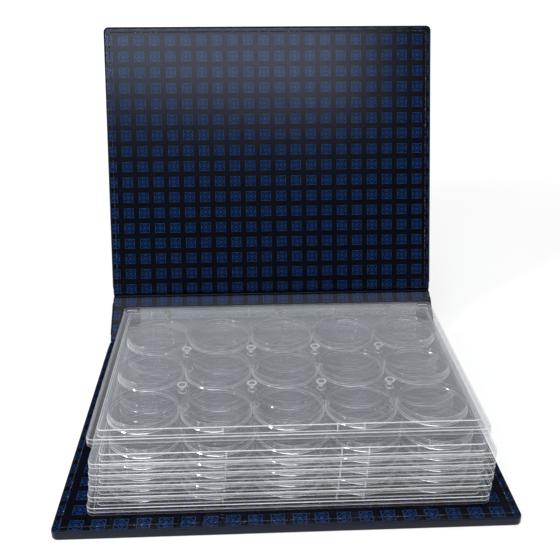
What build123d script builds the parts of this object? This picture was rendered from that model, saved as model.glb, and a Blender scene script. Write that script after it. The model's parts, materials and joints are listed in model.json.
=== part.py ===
from build123d import *
from math import cos, pi, radians, sin
import os

# Coin album lying open. The back cover is flat with six clear pages stacked on it, the spine
# rises behind them and the front cover stands on the spine and leans back.
# The origin is the centre of the back cover's underside. X runs along the spine, Y from the
# fore-edge to the spine, Z up. Sizes are millimetres and degrees.

# Covers
cover_width = 270.0
cover_depth = 217.5
cover_corner = 4.0
skin_thickness = 1.2
board_thickness = 3.6
lining_thickness = 1.0
wrap_gap = 0.05
skin_edge_round = 1.0
rim_edge_round = 0.4

# Spine and folds
hinge_height = 3.0
gutter_half = 4.5
gutter_thickness = 2.2
gutter_inset = 0.6
gutter_end_gap = 0.1
spine_span = 43.7
spine_rise = 37.8
front_cover_rise = 71.44

# Coins and their pockets
coin_diameter = 40.6
coin_play = 0.4
pocket_columns = 5
pocket_rows = 3
column_pitch = 44.0
row_pitch = 45.5
lid_ring_wall = 0.45
tray_ring_wall = 0.5
ring_clearance = 0.15
tray_ring_height = 1.6
ring_end_gap = 0.1

# Snap posts between the pockets
post_diameter = 6.0
post_wall = 1.0
peg_clearance = 0.2
peg_height = 3.0

# Page shell
page_height = 10.0
flange_thickness = 2.4
leaf_gap = 0.5
page_gap = 1.575
sheet_wall = 0.9
panel_wall = 0.7
box_side_margin = 2.2
box_front_margin = 3.5
box_back_margin = 13.2
box_corner = 3.0
flange_side = 6.3
flange_front = 2.6
flange_back = 16.0
flange_corner = 4.0
nest_gap = 0.1
nest_side_clearance = 1.2
nest_front_play = 0.3
nest_back_clearance = 1.3
panel_clearance = 0.2
wall_rib_width = 0.7
wall_rib_depth = 0.5
front_rib_places = (-39.4, 27.2, 43.0)
back_rib_places = (-95.9, -23.1, 40.6)

# Stack of pages, counted from the top one down
page_count = 6
seat_gap = 0.1
lowest_page_y = -22.75
page_stagger = 1.175
top_page_slide = 9.4
page_side_shift = (2.4, 4.1, 3.7, 3.2, 2.3, 1.4)

# Soft hinge strips that link the pages, and the eyelets that hold them
hinge_film = 0.4
hinge_film_gap = 0.1
hinge_half_width = 108.0
hinge_side_clearance = 1.0
hinge_grip = 10.0
hinge_tail = 1.5
slot_clearance = 0.05
slot_end_room = 1.8
eyelet_places = (-85.0, 0.0, 85.0)
eyelet_back_margin = 6.8
eyelet_diameter = 4.0
eyelet_bore = 2.4
eyelet_head_diameter = 6.4
eyelet_head = 0.5
eyelet_clearance = 0.05
eyelet_hole_diameter = 7.4

# Strip on the back cover that holds the lowest hinge
strip_half_width = 116.0
strip_front_y = 87.5
strip_depth = 12.0
strip_corner = 2.0
clamp_thickness = 2.0
screw_places = (-85.0, 0.0, 85.0)
screw_diameter = 3.0
screw_head_diameter = 5.6
screw_head = 1.2
screw_slot_width = 0.8
screw_slot_depth = 0.6
screw_clearance = 0.05
screw_tip_height = 2.0

# Sizes that follow
cover_thickness = skin_thickness + board_thickness + lining_thickness
cover_back_y = cover_depth / 2
spine_axis_y = cover_back_y + gutter_half
spine_axis = (spine_axis_y, hinge_height)
front_axis = (
    spine_axis_y + spine_span * cos(radians(spine_rise)),
    hinge_height + spine_span * sin(radians(spine_rise)),
)
pocket_bore = coin_diameter + coin_play
lid_ring_outer = pocket_bore + 2 * lid_ring_wall
tray_ring_inner = lid_ring_outer + 2 * ring_clearance
tray_ring_outer = tray_ring_inner + 2 * tray_ring_wall
grid_half_width = ((pocket_columns - 1) * column_pitch + tray_ring_outer) / 2
grid_half_depth = ((pocket_rows - 1) * row_pitch + tray_ring_outer) / 2

# Page outline, from the middle of its pockets and the underside of its flange
box_half = grid_half_width + box_side_margin
box_front = grid_half_depth + box_front_margin
box_back = grid_half_depth + box_back_margin
flange_half = box_half + flange_side
flange_front_y = -(box_front + flange_front)
flange_back_y = box_back + flange_back
flange_pair = 2 * flange_thickness + leaf_gap
lid_bottom = flange_thickness + leaf_gap
nest_pitch = flange_pair + page_gap
recess_ceiling = page_height - nest_pitch + nest_gap
recess_half = box_half + nest_side_clearance
recess_front = box_front + page_stagger + nest_front_play
recess_back = box_back + nest_back_clearance
panel_top = recess_ceiling + panel_wall
raised_half = recess_half + sheet_wall
raised_front = recess_front - panel_clearance
raised_back = recess_back + sheet_wall
plate_bottom = page_height - sheet_wall
inner_half = box_half - sheet_wall
inner_front = box_front - sheet_wall
inner_back = box_back - sheet_wall
lid_base = panel_top + ring_end_gap
opening_half = raised_half + panel_clearance
opening_back = raised_back + panel_clearance
eyelet_y = flange_back_y - eyelet_back_margin
lower_film_z = flange_thickness + slot_clearance + hinge_film / 2
upper_film_z = lower_film_z + hinge_film + hinge_film_gap
slot_top = upper_film_z + hinge_film / 2 + slot_clearance + ring_end_gap
slot_front = flange_back_y - hinge_grip - slot_end_room


def page_place(number):
    """Where the middle of a page's pockets lies, at the underside of its flange."""
    steps_up = page_count - number
    y = lowest_page_y + page_stagger * steps_up
    z = cover_thickness + seat_gap + nest_pitch * steps_up
    if number == 1:
        below = page_place(2)
        y = below[1] + top_page_slide
        z = below[2] + page_height + seat_gap
    return (page_side_shift[number - 1], y, z)


def slab(half_width, front, back, bottom, top, corner=0.0):
    """A flat block centred on X, with its upright corners rounded."""
    size = Box(2 * half_width, back - front, top - bottom)
    block = Pos(0, (front + back) / 2, (bottom + top) / 2) * size
    if corner > 0:
        block = fillet(block.edges().filter_by(Axis.Z), corner)
    return block


def rod(radius, bottom, top):
    """An upright cylinder on the Z axis."""
    return Pos(0, 0, (bottom + top) / 2) * Cylinder(radius, top - bottom)


def tube(outer_radius, inner_radius, bottom, top):
    """An upright tube on the Z axis."""
    return rod(outer_radius, bottom, top) - rod(inner_radius, bottom - 1, top + 1)


def raised(shape, axis, angle):
    """A piece drawn flat with its fold line at Y 0, set on a fold line and turned up."""
    return Pos(0, axis[0], axis[1]) * Rot(angle, 0, 0) * Pos(0, 0, -hinge_height) * shape


# Covers and spine

def panel_skin(front, back):
    """Outer cloth: one sheet under the board, turned up round its four edges."""
    half = cover_width / 2
    skin = slab(half, front, back, 0, cover_thickness, cover_corner)
    skin = fillet(skin.faces().sort_by(Axis.Z)[0].edges(), skin_edge_round)
    skin = fillet(skin.faces().sort_by(Axis.Z)[-1].edges(), rim_edge_round)
    pocket = slab(
        half - skin_thickness,
        front + skin_thickness,
        back - skin_thickness,
        skin_thickness,
        cover_thickness + 1,
        cover_corner - skin_thickness,
    )
    return skin - pocket


def panel_sheet(front, back, bottom, top):
    """A flat sheet that fills the cloth's turned-up edges: the board or the lining."""
    inset = skin_thickness + wrap_gap
    half = cover_width / 2 - inset
    corner = cover_corner - inset
    return slab(half, front + inset, back - inset, bottom, top, corner)


def panel_pieces(front, back):
    """The three layers of a cover or of the spine, drawn flat."""
    board_top = skin_thickness + board_thickness
    return {
        "board": panel_sheet(front, back, skin_thickness, board_top),
        "skin": panel_skin(front, back),
        "lining": panel_sheet(front, back, board_top, cover_thickness),
    }


def gutter(angle):
    """The fold between two panels, drawn about the fold line at Y 0 and bent by an angle."""
    half_width = cover_width / 2 - gutter_inset
    reach = gutter_half - gutter_end_gap
    low = hinge_height - gutter_thickness / 2
    high = hinge_height + gutter_thickness / 2
    near = slab(half_width, -reach, 0, low, high)
    far = slab(half_width, 0, reach, low, high)
    far = raised(far, (0, hinge_height), angle)
    bead = Pos(0, 0, hinge_height) * Rot(0, 90, 0) * Cylinder(gutter_thickness / 2, 2 * half_width)
    return near + far + bead


# Pages

def pocket_grid(shape):
    """One copy of a shape in each coin pocket."""
    places = GridLocations(column_pitch, row_pitch, pocket_columns, pocket_rows)
    return [place * shape for place in places]


def post_grid(shape):
    """One copy of a shape at each snap post, in the corners between four pockets."""
    places = GridLocations(column_pitch, row_pitch, pocket_columns - 1, pocket_rows - 1)
    return [place * shape for place in places]


def eyelet_row(shape):
    """One copy of a shape at each eyelet along a page's back margin."""
    return [Pos(x, eyelet_y, 0) * shape for x in eyelet_places]


def page_tray():
    """Lower leaf: a flat frame and, raised inside it, the panel with the coins' rings."""
    tray = slab(flange_half, flange_front_y, flange_back_y, 0, flange_thickness, flange_corner)
    tray += slab(raised_half, -raised_front, raised_back, 0, panel_top)
    tray -= slab(recess_half, -recess_front, recess_back, -1, recess_ceiling)
    ring = tube(tray_ring_outer / 2, tray_ring_inner / 2, panel_top - panel_wall / 2,
                panel_top + tray_ring_height)
    peg_radius = post_diameter / 2 - post_wall - peg_clearance
    peg = rod(peg_radius, panel_top - panel_wall / 2, panel_top + peg_height)
    tray += pocket_grid(ring)
    tray += post_grid(peg)
    hole = rod(eyelet_diameter / 2 + eyelet_clearance, -1, flange_thickness + 1)
    return tray - eyelet_row(hole)


def wall_ribs():
    """Small upright ribs inside the box's front and back walls."""
    reach = wall_rib_depth
    rib = slab(wall_rib_width / 2, -reach, reach, lid_base, page_height - sheet_wall / 2)
    front = [Pos(x, -inner_front, 0) * rib for x in front_rib_places]
    back = [Pos(x, inner_back, 0) * rib for x in back_rib_places]
    return front + back


def page_lid():
    """Upper leaf: a flange, a shallow box, rings that guide the coins, and the snap posts."""
    lid = slab(flange_half, flange_front_y, flange_back_y, lid_bottom, flange_pair, flange_corner)
    lid += slab(box_half, -box_front, box_back, lid_base, page_height, box_corner)
    lid -= slab(opening_half, -recess_front, opening_back, lid_bottom - 1, lid_base)
    lid -= slab(inner_half, -inner_front, inner_back, lid_bottom - 1, plate_bottom,
                box_corner - sheet_wall)
    slot_half = hinge_half_width + hinge_side_clearance
    lid -= slab(slot_half, slot_front, flange_back_y + 1, lid_bottom - 1, slot_top)
    lid += wall_ribs()
    ring_top = page_height - sheet_wall / 2
    lid += pocket_grid(tube(lid_ring_outer / 2, pocket_bore / 2, lid_base, ring_top))
    socket_radius = post_diameter / 2 - post_wall
    lid += post_grid(tube(post_diameter / 2, socket_radius, lid_base, ring_top))
    hole = rod(eyelet_hole_diameter / 2, lid_bottom - 1, flange_pair + 1)
    return lid - eyelet_row(hole)


def page_eyelets():
    """Three eyelets that clamp the hinge films to the tray's back margin."""
    film_top = upper_film_z + hinge_film / 2 + slot_clearance
    barrel = rod(eyelet_diameter / 2, eyelet_clearance, film_top + eyelet_head)
    head = rod(eyelet_head_diameter / 2, film_top, film_top + eyelet_head)
    eyelet = barrel + head
    eyelet -= rod(eyelet_bore / 2, -1, film_top + eyelet_head + 1)
    return Compound(children=eyelet_row(eyelet))


def film_holes(shift_x, shift_y, z):
    """Room in a hinge film for one page's eyelets."""
    reach = hinge_film + slot_clearance
    hole = rod(eyelet_diameter / 2 + eyelet_clearance, z - reach, z + reach)
    return [Pos(shift_x, shift_y, 0) * part for part in eyelet_row(hole)]


def page_hinge(number):
    """Soft film from the page below, back round a loop and into this page's back margin."""
    lower = page_place(number + 1)
    upper = page_place(number)
    low_z = lower[2] + upper_film_z
    high_z = upper[2] + lower_film_z
    low_edge = lower[1] + flange_back_y
    high_edge = upper[1] + flange_back_y
    radius = (high_z - low_z) / 2
    middle_x = (lower[0] + upper[0]) / 2
    free_run = (hinge_free_length() - pi * radius + high_edge - low_edge) / 2
    turn_y = low_edge + free_run
    half = hinge_film / 2
    low_run = slab(hinge_half_width, low_edge - hinge_grip, turn_y, low_z - half, low_z + half)
    high_run = slab(hinge_half_width, high_edge - hinge_grip, turn_y, high_z - half, high_z + half)
    ring = Cylinder(radius + half, 2 * hinge_half_width) - Cylinder(radius - half, 3 * hinge_half_width)
    loop = Pos(0, turn_y, (low_z + high_z) / 2) * Rot(0, 90, 0) * ring
    loop &= slab(2 * hinge_half_width, turn_y, turn_y + 2 * radius, low_z - 1, high_z + 1)
    film = Pos(middle_x, 0, 0) * (low_run + high_run + loop)
    film -= film_holes(lower[0], lower[1], low_z)
    return film - film_holes(upper[0], upper[1], high_z)


def hinge_free_length():
    """Free film between two pages, set by the top page, which lies slid back and lifted."""
    rise = page_place(1)[2] + lower_film_z - page_place(2)[2] - upper_film_z
    slide = page_place(1)[1] - page_place(2)[1]
    return slide + 2 * hinge_tail + pi * rise / 2


# Strip on the back cover

def strip_levels():
    """Heights of the strip's foot, the film in it and the top of its clamp."""
    film_z = page_place(page_count)[2] + lower_film_z
    foot_top = film_z - hinge_film / 2 - slot_clearance
    clamp_bottom = film_z + hinge_film / 2 + slot_clearance
    return foot_top, clamp_bottom, clamp_bottom + clamp_thickness


def strip_screws(extra=0.0):
    """Three slotted screws, or the room for them when extra is their clearance."""
    top = strip_levels()[2]
    shank = rod(screw_diameter / 2 + extra, screw_tip_height - extra, top)
    head = rod(screw_head_diameter / 2 + extra, top - screw_head - extra, top)
    return [Pos(x, strip_front_y + strip_depth / 2, 0) * (shank + head) for x in screw_places]


def binding_screws():
    """The screws with their slots."""
    top = strip_levels()[2]
    slot = slab(screw_head_diameter, -screw_slot_width / 2, screw_slot_width / 2,
                top - screw_slot_depth, top + 1)
    slots = [Pos(x, strip_front_y + strip_depth / 2, 0) * slot for x in screw_places]
    return Compound(children=[screw - cut for screw, cut in zip(strip_screws(), slots)])


def lowest_hinge():
    """Flat film from the strip to the lowest page."""
    x, y, z = page_place(page_count)
    film_z = z + lower_film_z
    start = y + flange_back_y - hinge_grip
    end = strip_front_y + strip_depth
    half = hinge_film / 2
    film = Pos(x, 0, 0) * slab(hinge_half_width, start, end, film_z - half, film_z + half)
    film -= film_holes(x, y, film_z)
    return film - strip_screws(screw_clearance)


def binding_base():
    """Foot of the strip, on the lining."""
    foot_top = strip_levels()[0]
    back = strip_front_y + strip_depth
    foot = slab(strip_half_width, strip_front_y, back, cover_thickness, foot_top, strip_corner)
    return foot - strip_screws(screw_clearance)


def binding_clamp():
    """Upper bar of the strip, which the screws pull down on the film."""
    clamp_bottom, clamp_top = strip_levels()[1:]
    back = strip_front_y + strip_depth
    bar = slab(strip_half_width, strip_front_y, back, clamp_bottom, clamp_top, strip_corner)
    bar = fillet(bar.faces().sort_by(Axis.Z)[-1].edges(), rim_edge_round)
    return bar - strip_screws(screw_clearance)


def cover_nodes():
    """Back cover, spine and front cover, with the folds between them."""
    nodes = {}
    for layer, shape in panel_pieces(-cover_back_y, cover_back_y).items():
        if layer != "skin":
            shape -= strip_screws(screw_clearance)
        nodes["back_cover_" + layer] = shape
    for layer, shape in panel_pieces(gutter_half, spine_span - gutter_half).items():
        nodes["spine_" + layer] = raised(shape, spine_axis, spine_rise)
    for layer, shape in panel_pieces(gutter_half, gutter_half + cover_depth).items():
        nodes["front_cover_" + layer] = raised(shape, front_axis, front_cover_rise)
    nodes["back_gutter"] = raised(gutter(spine_rise), spine_axis, 0)
    nodes["front_gutter"] = raised(gutter(front_cover_rise - spine_rise), front_axis, spine_rise)
    return nodes


def page_nodes():
    """The pages and the films that link them."""
    nodes = {}
    tray = page_tray()
    lid = page_lid()
    eyelets = page_eyelets()
    for number in range(1, page_count + 1):
        place = Pos(*page_place(number))
        name = f"page_{number}_"
        nodes[name + "tray"] = place * tray
        nodes[name + "lid"] = place * lid
        nodes[name + "eyelets"] = place * eyelets
        nodes[name + "hinge"] = page_hinge(number) if number < page_count else lowest_hinge()
    return nodes


def binding_nodes():
    """The strip screwed to the back cover."""
    return {
        "binding_base": binding_base(),
        "binding_clamp": binding_clamp(),
        "binding_screws": binding_screws(),
    }


nodes = {**cover_nodes(), **binding_nodes(), **page_nodes()}
os.makedirs("parts", exist_ok=True)
for node_name, node_shape in nodes.items():
    export_step(node_shape, f"parts/{node_name}.step")
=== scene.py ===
import json
from math import cos, pi, radians, sin
from random import Random

import bmesh
import bpy
from mathutils import Matrix, Vector


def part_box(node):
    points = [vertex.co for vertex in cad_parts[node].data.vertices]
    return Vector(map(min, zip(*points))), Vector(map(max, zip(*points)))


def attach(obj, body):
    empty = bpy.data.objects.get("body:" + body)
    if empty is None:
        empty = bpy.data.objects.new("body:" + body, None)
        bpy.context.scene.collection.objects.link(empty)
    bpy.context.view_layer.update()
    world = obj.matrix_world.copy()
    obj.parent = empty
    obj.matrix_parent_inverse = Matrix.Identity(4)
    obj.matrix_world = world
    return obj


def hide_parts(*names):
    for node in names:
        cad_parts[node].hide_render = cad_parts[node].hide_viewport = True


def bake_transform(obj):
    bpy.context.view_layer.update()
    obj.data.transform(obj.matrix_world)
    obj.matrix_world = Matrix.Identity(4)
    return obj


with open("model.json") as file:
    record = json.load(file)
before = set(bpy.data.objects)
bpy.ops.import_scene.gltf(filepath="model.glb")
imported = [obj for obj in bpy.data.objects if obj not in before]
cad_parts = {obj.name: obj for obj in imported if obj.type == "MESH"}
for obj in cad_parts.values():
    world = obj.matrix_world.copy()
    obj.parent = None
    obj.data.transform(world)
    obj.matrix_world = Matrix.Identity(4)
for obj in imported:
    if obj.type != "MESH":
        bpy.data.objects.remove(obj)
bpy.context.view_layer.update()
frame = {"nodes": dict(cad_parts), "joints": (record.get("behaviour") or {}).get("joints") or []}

bl_info = {
    "name": "Coin album",
    "version": (1, 0, 0),
    "blender": (4, 5, 0),
    "location": "3D View > Sidebar > Album",
    "description": "Builds an open coin album with padded covers and nested clear pages",
    "category": "Add Mesh",
}

# Sizes in this file are metres and angles are radians. MM turns millimetres into metres.
MM = 0.001

joints = {row["name"]: row for row in frame["joints"]}
spine_axis = Vector(joints["spine_hinge"]["pos_m"])
cover_axis = Vector(joints["front_cover_hinge"]["pos_m"])
spine_rise = radians(joints["spine_hinge"]["range_deg"][1])
cover_rise = spine_rise + radians(joints["front_cover_hinge"]["range_deg"][1])
page_count = sum(1 for name in frame["nodes"] if name.endswith("_tray"))
cover_low, cover_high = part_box("back_cover_skin")
cover_half = cover_high.x
cover_front = cover_low.y
cover_back = cover_high.y
cover_thickness = cover_high.z
fold_half = spine_axis.y - cover_back
fold_height = spine_axis.z
spine_length = (cover_axis - spine_axis).length


def length(label, text, value):
    """A length that a user can change."""
    return bpy.props.FloatProperty(name=label, description=text, default=value, unit="LENGTH",
                                   subtype="DISTANCE", precision=5)


def whole(label, text, value):
    """A whole number that a user can change."""
    return bpy.props.IntProperty(name=label, description=text, default=value, min=1, subtype="UNSIGNED")


def share(label, text, value):
    """A number from 0 to 1 that a user can change."""
    return bpy.props.FloatProperty(name=label, description=text, default=value, min=0, max=1,
                                   subtype="FACTOR")


def colour(label, text, value):
    """A colour that a user can change."""
    return bpy.props.FloatVectorProperty(name=label, description=text, default=value, size=3, min=0,
                                         max=1, subtype="COLOR")


class AlbumCovers(bpy.types.PropertyGroup):
    """Sizes and colours of the covers."""
    corner: length("Corner", "Radius of the covers' corners", 4.0 * MM)
    rim: length("Rim", "Width of the outer cloth that shows round the lining", 1.25 * MM)
    seam_inset: length("Seam inset", "From a cover's edge to its stitching", 4.3 * MM)
    seam_depth: length("Seam depth", "How far the stitching pulls the lining down", 0.14 * MM)
    stitch_pitch: length("Stitch pitch", "From one stitch to the next", 4.2 * MM)
    stitch_length: length("Stitch length", "Visible length of a stitch", 3.1 * MM)
    thread: length("Thread", "Thickness of the thread", 0.7 * MM)
    motif_pitch: length("Motif pitch", "From one square of the pattern to the next", 12.78 * MM)
    motif_size: length("Motif size", "Width of a square of the pattern", 8.1 * MM)
    cloth: colour("Cloth", "Grained outer cloth", (0.0022, 0.0026, 0.010))
    ground: colour("Ground", "Lining between the squares", (0.0015, 0.0013, 0.0045))
    motif: colour("Motif", "Inside of a square", (0.0008, 0.009, 0.048))
    line: colour("Line", "Lines of a square", (0.011, 0.038, 0.115))
    thread_colour: colour("Thread colour", "Stitching", (0.0015, 0.0015, 0.004))


class AlbumPages(bpy.types.PropertyGroup):
    """Sizes and looks of the clear pages."""
    columns: whole("Columns", "Pockets across a page", 5)
    rows: whole("Rows", "Pockets from the front of a page to its back", 3)
    column_pitch: length("Column pitch", "From one column of pockets to the next", 44.0 * MM)
    row_pitch: length("Row pitch", "From one row of pockets to the next", 45.5 * MM)
    pocket_bore: length("Pocket bore", "Inside of a pocket", 41.0 * MM)
    wall: length("Wall", "Thickness of a page's walls", 0.9 * MM)
    edge_round: length("Edge round", "Rounding of a page's edges", 0.35 * MM)
    clear: colour("Clear", "Clear plastic", (0.86, 0.87, 0.885))
    haze: share("Haze", "How much of a flat sheet hides what is behind it", 0.04)
    wall_haze: share("Wall haze", "The same for the pockets' walls", 0.18)
    # Painted highlight: a strong white veil on the rounded edges and rims makes their bright lines.
    edge_painted_highlight: share("Edge haze", "The same for rounded edges", 0.58)


class AlbumStage(bpy.types.PropertyGroup):
    """Floor, lights and camera."""
    floor: colour("Floor", "Pale floor", (0.86, 0.86, 0.86))
    lens: bpy.props.FloatProperty(name="Lens", description="Focal length on a 36 mm sensor",
                                  default=49.88, unit="CAMERA")


# Shader maths

class Wire:
    """One output of a node. Python's operators on it add Math nodes."""

    def __init__(self, tree, socket=None):
        self.tree = tree
        self.socket = socket

    def node(self, kind, settings=None, inputs=None, output=0):
        """Adds a node: its settings first, then the values or links of its sockets."""
        made = self.tree.nodes.new(kind)
        for key, value in (settings or {}).items():
            setattr(made, key, value)
        for key, value in (inputs or {}).items():
            if isinstance(value, Wire):
                self.tree.links.new(value.socket, made.inputs[key])
            else:
                made.inputs[key].default_value = value
        return Wire(self.tree, made.outputs[output])

    def math(self, operation, *others):
        """A Math node on this value and others."""
        inputs = dict(enumerate((self, *others)))
        return self.node("ShaderNodeMath", {"operation": operation}, inputs)

    def __add__(self, other):
        return self.math("ADD", other)

    __radd__ = __add__

    def __mul__(self, other):
        return self.math("MULTIPLY", other)

    __rmul__ = __mul__

    def __sub__(self, other):
        return self.math("SUBTRACT", other)

    def __rsub__(self, other):
        return self.node("ShaderNodeMath", {"operation": "SUBTRACT"}, {0: other, 1: self})

    def __truediv__(self, other):
        return self.math("DIVIDE", other)

    def __pow__(self, other):
        return self.math("POWER", other)

    def __abs__(self):
        return self.math("ABSOLUTE")

    def upto(self, other):
        """The larger of two values."""
        return self.math("MAXIMUM", other)

    def fade(self, start, end):
        """A smooth rise from 0 at start to 1 at end."""
        limits = {"Value": self, "From Min": start, "From Max": end, "To Min": 0.0, "To Max": 1.0}
        return self.node("ShaderNodeMapRange", {"interpolation_type": "SMOOTHSTEP"}, limits)

    def tint(self, first, second):
        """A colour between two, by this value. A Mix node's colours are inputs 6 and 7, output 2."""
        inputs = {"Factor": self}
        for key, value in ((6, first), (7, second)):
            inputs[key] = value if isinstance(value, Wire) else (*value, 1)
        return self.node("ShaderNodeMix", {"data_type": "RGBA", "clamp_factor": True}, inputs, output=2)

    def bump(self, depth, normal=None):
        """A surface normal from this height. Depth is the height, in metres, of a value of 1."""
        inputs = {"Height": self, "Distance": depth, "Strength": 1.0}
        if normal is not None:
            inputs["Normal"] = normal
        return self.node("ShaderNodeBump", None, inputs)


def new_material(name):
    """An empty material and its node tree."""
    material = bpy.data.materials.new(name)
    material.use_nodes = True
    material.node_tree.nodes.clear()
    return material, Wire(material.node_tree)


def finish_material(material, surface):
    """Links a shader to the material's output."""
    tree = material.node_tree
    output = tree.nodes.new("ShaderNodeOutputMaterial")
    tree.links.new(surface.socket, output.inputs["Surface"])
    return material


def finish_glossy(material, base, values):
    """Ends a material in one Principled shader with these values."""
    return finish_material(material, base.node("ShaderNodeBsdfPrincipled", None, values))


def darker(tone, factor):
    """A colour times a number."""
    return [part * factor for part in tone]


def noise(base, place, scale, detail=3.0):
    """Soft noise, with scale in waves per metre."""
    return base.node("ShaderNodeTexNoise", None,
                     {"Vector": place, "Scale": scale, "Detail": detail, "Roughness": 0.55})


def pebbles(base, place, scale):
    """Rounded pebbles like those of leather grain, 0 in the creases."""
    return base.node("ShaderNodeTexVoronoi", {"feature": "DISTANCE_TO_EDGE"},
                     {"Vector": place, "Scale": scale})


def on_object(base):
    """Place on the piece at rest, in metres."""
    return base.node("ShaderNodeTexCoord", output="Object")


def on_sheet(base):
    """Place on the piece's own flat map, in metres."""
    return base.node("ShaderNodeUVMap", {"uv_map": "flat"})


def leather_grain(base, place, depth):
    """Fine pebbled grain over soft unevenness, as a normal, and a mask of its creases, which the
    materials darken as painted shade.
    """
    fine = noise(base, place, 900.0)
    cells = pebbles(base, place, 1500.0).fade(0.0, 0.28)
    waves = noise(base, place, 28.0, 2.0)
    uneven = waves.bump(0.06 * MM)
    height = cells * 0.7 + fine * 0.5
    return height.bump(depth, uneven), 1 - cells


def cloth_material(sizes):
    """Outer cloth of the covers: dark grained leather cloth, rubbed on its edges."""
    material, base = new_material("album_cloth")
    place = on_object(base)
    normal, creases = leather_grain(base, place, 0.04 * MM)
    wear = noise(base, place, 60.0, 4.0).fade(0.45, 0.8)
    shade = wear.tint(sizes.cloth, [c * 1.9 + 0.002 for c in sizes.cloth])
    # Painted shade: the grain's creases are darkened in the colour.
    shade = (creases * 0.6).tint(shade, darker(sizes.cloth, 0.5))
    rough = 0.3 + wear * 0.1 + creases * 0.08
    return finish_glossy(material, base, {
        "Base Color": shade, "Roughness": rough, "Normal": normal, "Specular IOR Level": 0.25,
        "Specular Tint": (0.8, 0.87, 1.0, 1)})


def motif_masks(base, sizes):
    """Masks of the lining's squares: their inside, their diamond, their lines and their dark petals."""
    place = on_sheet(base)
    across = []
    for name in "XY":
        part = place.node("ShaderNodeSeparateXYZ", None, {0: place}, output=name)
        step = part / sizes.motif_pitch
        across.append(abs(step.math("FRACT") - 0.5) * sizes.motif_pitch)
    side, up = across
    square = side.upto(up)
    diamond = side + up
    half = sizes.motif_size / 2
    thin = 0.28 * MM
    petal = 1.4 * MM

    def ring(shape, at):
        """A thin line where a shape has one value."""
        return 1 - abs(shape - at).fade(thin * 0.5, thin * 1.4)

    inside = 1 - square.fade(half - thin, half + thin)
    within = 1 - diamond.fade(half * 0.98 - thin, half * 0.98 + thin)
    border = ring(square, half - 0.2 * MM)
    lines = border.upto(ring(diamond, half * 0.96)).upto(ring(square, half * 0.16))
    spread = (side - petal) ** 2 + (up - petal) ** 2
    petals = 1 - (spread ** 0.5).fade(0.5 * MM, 0.95 * MM)
    return inside, within * inside, lines * inside, petals * within


def lining_material(sizes):
    """Lining: dark sheet with a printed grid of blue squares under a satin coat."""
    material, base = new_material("album_lining")
    place = on_sheet(base)
    normal, creases = leather_grain(base, place, 0.007 * MM)
    inside, within, lines, petals = motif_masks(base, sizes)
    patch = noise(base, place, 95.0, 3.0)
    speck = noise(base, place, 2600.0, 1.0)
    ground = patch.tint(darker(sizes.ground, 0.7), darker(sizes.ground, 1.3))
    fill = within.tint(darker(sizes.motif, 0.25), sizes.motif)
    fill = (petals * 0.85).tint(fill, darker(sizes.motif, 0.2))
    shade = inside.tint(ground, fill)
    shade = (lines * (0.7 + speck * 0.3)).tint(shade, sizes.line)
    # Painted shade: the grain's creases are darkened in the colour.
    shade = (creases * 0.12).tint(shade, darker(sizes.ground, 0.5))
    rough = 0.17 + patch * 0.04 - inside * 0.02
    return finish_glossy(material, base, {
        "Base Color": shade, "Roughness": rough, "Normal": normal, "Specular IOR Level": 0.2,
        "Specular Tint": (0.78, 0.86, 1.0, 1)})


def thread_material(sizes):
    """Twisted sewing thread."""
    material, base = new_material("album_thread")
    twist = base.node("ShaderNodeTexWave", {"bands_direction": "DIAGONAL"},
                      {"Vector": on_object(base), "Scale": 900.0, "Distortion": 1.0})
    shade = twist.tint(sizes.thread_colour, [c * 3 + 0.004 for c in sizes.thread_colour])
    return finish_glossy(material, base, {
        "Base Color": shade, "Roughness": 0.7, "Normal": twist.bump(0.08 * MM)})


def fluff_material():
    """Pale ends of thread and lining fibre in the needle holes."""
    material, base = new_material("album_fibre")
    patch = noise(base, on_object(base), 700.0)
    shade = patch.tint((0.30, 0.30, 0.27), (0.75, 0.75, 0.70))
    return finish_glossy(material, base, {"Base Color": shade, "Roughness": 0.8})


def board_material():
    """Grey board inside the covers."""
    material, base = new_material("album_board")
    fibre = noise(base, on_object(base), 420.0, 5.0)
    shade = fibre.tint((0.24, 0.21, 0.17), (0.42, 0.38, 0.32))
    return finish_glossy(material, base, {
        "Base Color": shade, "Roughness": 0.9, "Normal": fibre.bump(0.1 * MM)})


def strip_material():
    """Black moulded plastic of the binding strip."""
    material, base = new_material("album_strip")
    place = on_object(base)
    grain = noise(base, place, 1400.0)
    patch = noise(base, place, 70.0)
    shade = patch.tint((0.010, 0.010, 0.013), (0.022, 0.022, 0.027))
    return finish_glossy(material, base, {
        "Base Color": shade, "Roughness": 0.34 + patch * 0.14, "Normal": grain.bump(0.02 * MM)})


def metal_material(name, tone, rough):
    """Bright metal with fine scratches."""
    material, base = new_material(name)
    place = on_object(base)
    scratch = noise(base, place, 1900.0, 4.0)
    patch = noise(base, place, 260.0)
    shade = patch.tint(darker(tone, 0.82), tone)
    return finish_glossy(material, base, {
        "Base Color": shade, "Metallic": 1.0, "Roughness": rough + scratch * 0.12,
        "Normal": scratch.bump(0.008 * MM)})


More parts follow.
